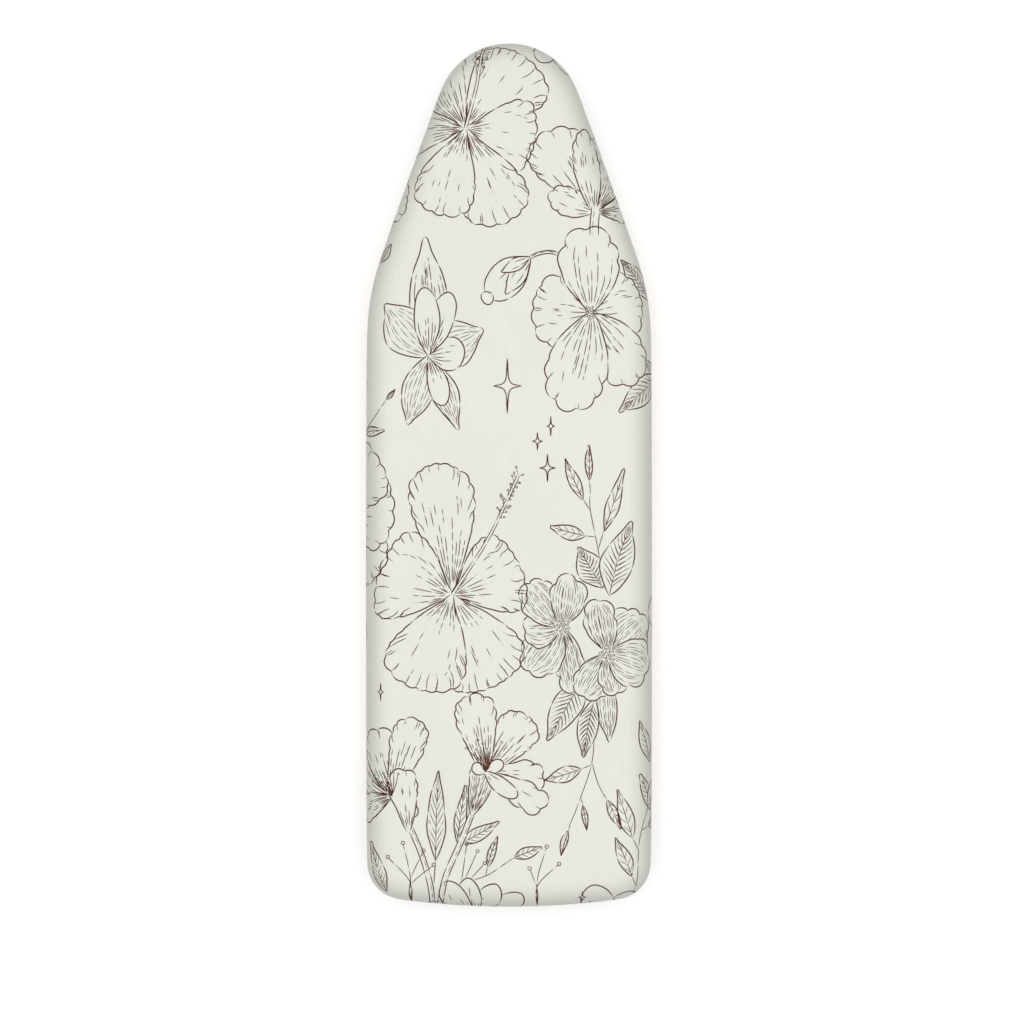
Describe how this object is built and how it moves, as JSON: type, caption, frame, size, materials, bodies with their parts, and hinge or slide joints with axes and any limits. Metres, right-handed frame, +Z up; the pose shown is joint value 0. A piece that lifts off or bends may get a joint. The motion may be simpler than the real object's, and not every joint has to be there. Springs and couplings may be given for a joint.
{
  "type": "sleeve ironing board",
  "caption": "Folding sleeve ironing board: narrow padded top with a rounded nose and printed cotton cover, held level over a wooden base by pressed steel legs and a clamp knob.",
  "frame": {"origin": "on the table, under the middle of the padded top's length and width", "axes": "+Y along the top towards its nose, +Z up, +X to the clamp knob's side"},
  "size_m": [0.171, 0.5198, 0.1623],
  "materials": {
    "cover_cotton": "printed cotton, off-white with brown line drawing",
    "hem_tape": "plain cotton tape, off-white",
    "elastic": "woven elastic, white",
    "foam": "open-cell foam, cream",
    "felt": "pressed felt, grey",
    "plywood": "birch plywood, clear satin lacquer",
    "painted_steel": "light grey powder coat",
    "zinc_steel": "bright zinc plate",
    "knob_plastic": "dark brown, fine texture",
    "brass": "satin brass",
    "rubber": "matt black",
    "nylon": "natural nylon"
  },
  "bodies": {
    "base": {"base_board": "plywood", "hang_eyelet": "brass", "front_base_bracket": "painted_steel", "rear_base_bracket": "painted_steel", "base_bracket_screws": "zinc_steel", "foot_screws": "zinc_steel", "foot_front_left": "rubber", "foot_front_right": "rubber", "foot_rear_left": "rubber", "foot_rear_right": "rubber", "front_leg_stop": "rubber", "rear_leg_stop": "rubber", "front_base_pin": "zinc_steel", "front_base_clip": "zinc_steel", "clamp_bolt": "zinc_steel", "clamp_washer": "zinc_steel"},
    "clamp_knob": {"clamp_knob": "knob_plastic", "knob_insert": "brass"},
    "rear_leg": {"rear_leg": "painted_steel", "rear_leg_washers": "nylon"},
    "front_leg": {"front_leg": "painted_steel", "front_leg_washers": "nylon"},
    "top": {"top_board": "plywood", "felt_pad": "felt", "foam_pad": "foam", "cover": "cover_cotton", "hem_casing": "hem_tape", "hem_elastic": "elastic", "front_top_bracket": "painted_steel", "rear_top_bracket": "painted_steel", "top_bracket_screws": "zinc_steel", "front_top_pin": "zinc_steel", "rear_top_pin": "zinc_steel", "front_top_clip": "zinc_steel", "rear_top_clip": "zinc_steel"}
  },
  "joints": [
    {"name": "fold", "type": "hinge", "parent": "base", "child": "rear_leg", "pos_m": [0, -0.118, 0.04], "axis": [1, 0, 0], "range_deg": [0, 98]},
    {"name": "front_leg_swing", "type": "hinge", "parent": "base", "child": "front_leg", "pos_m": [0, 0.062, 0.04], "axis": [1, 0, 0], "range_deg": [0, 98]},
    {"name": "top_level", "type": "hinge", "parent": "rear_leg", "child": "top", "pos_m": [0, -0.10659, 0.1212], "axis": [1, 0, 0], "range_deg": [-98, 0]},
    {"name": "knob_turn", "type": "hinge", "parent": "base", "child": "clamp_knob", "pos_m": [0.045, -0.118, 0.04], "axis": [1, 0, 0], "range_deg": [0, 270]}
  ],
  "couplings": [
    {"joint": "front_leg_swing", "follows": "fold", "ratio": 1},
    {"joint": "top_level", "follows": "fold", "ratio": -1}
  ]
}
